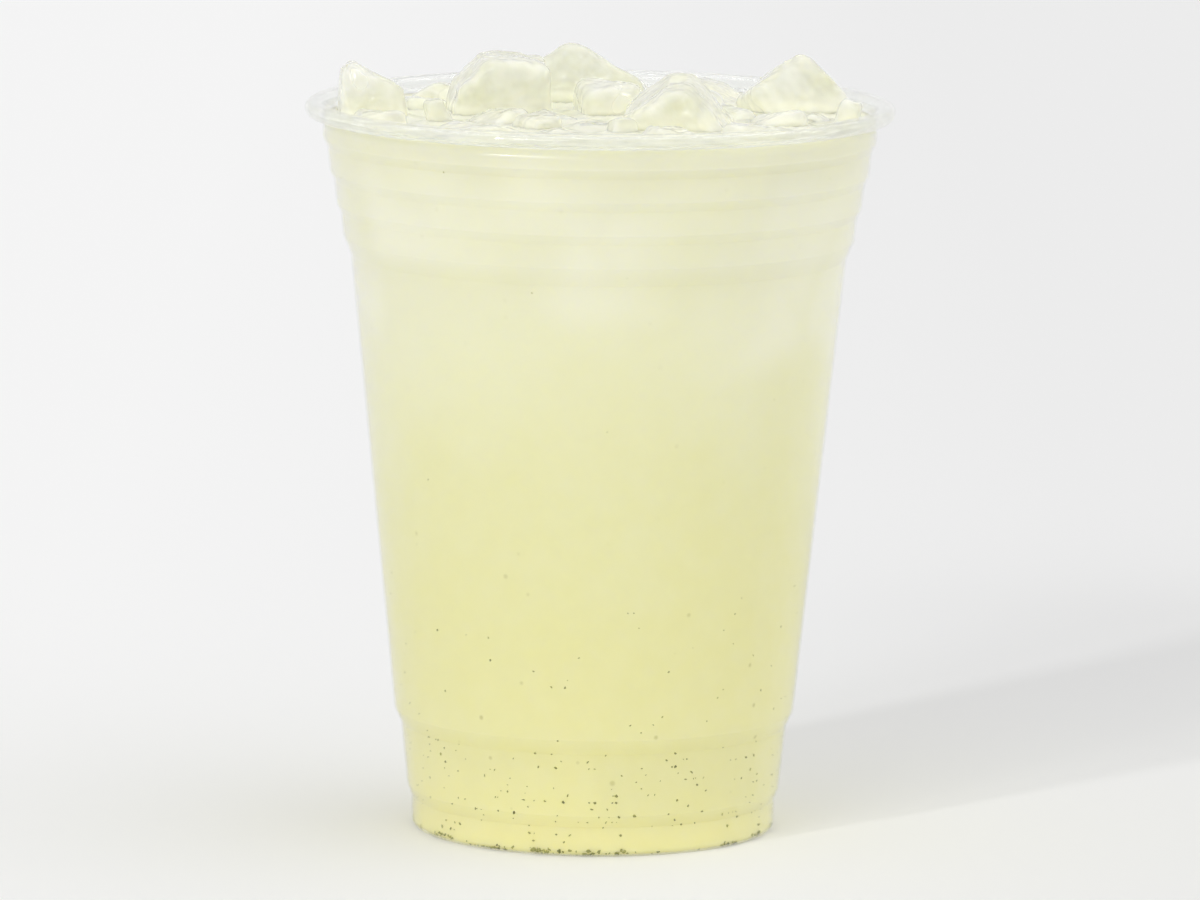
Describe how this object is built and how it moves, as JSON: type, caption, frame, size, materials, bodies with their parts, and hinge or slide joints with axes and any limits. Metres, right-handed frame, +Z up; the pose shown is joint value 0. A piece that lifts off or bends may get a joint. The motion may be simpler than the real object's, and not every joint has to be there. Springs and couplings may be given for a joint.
{
  "type": "cup of lemonade",
  "caption": "Clear plastic cup with a rolled lip and a stepped wall, filled with cloudy pale lemonade, with half-melted ice standing above the rim.",
  "frame": {"origin": "middle of the flat ring that the cup stands on", "axes": "+Z up along the cup's axis, +X to the right of the cup seen from its front, which faces -Y"},
  "size_m": [0.098, 0.098, 0.1295],
  "materials": {
    "clear_plastic": "clear, glossy",
    "lemonade": "cloudy liquid",
    "ice": "wet, half-melted",
    "herb": "matt flecks of leaf"
  },
  "bodies": {
    "root": {"cup": "clear_plastic", "ice_back": "ice", "ice_back_left": "ice", "ice_back_right": "ice", "ice_centre": "ice", "ice_chip_left": "ice", "ice_chip_right": "ice", "ice_front": "ice", "ice_front_centre": "ice", "ice_front_left": "ice", "ice_front_right": "ice", "ice_left": "ice", "ice_middle_left": "ice", "ice_middle_right": "ice", "ice_right": "ice", "ice_side_left": "ice", "ice_side_right": "ice", "lemonade": "lemonade"}
  },
  "joints": []
}
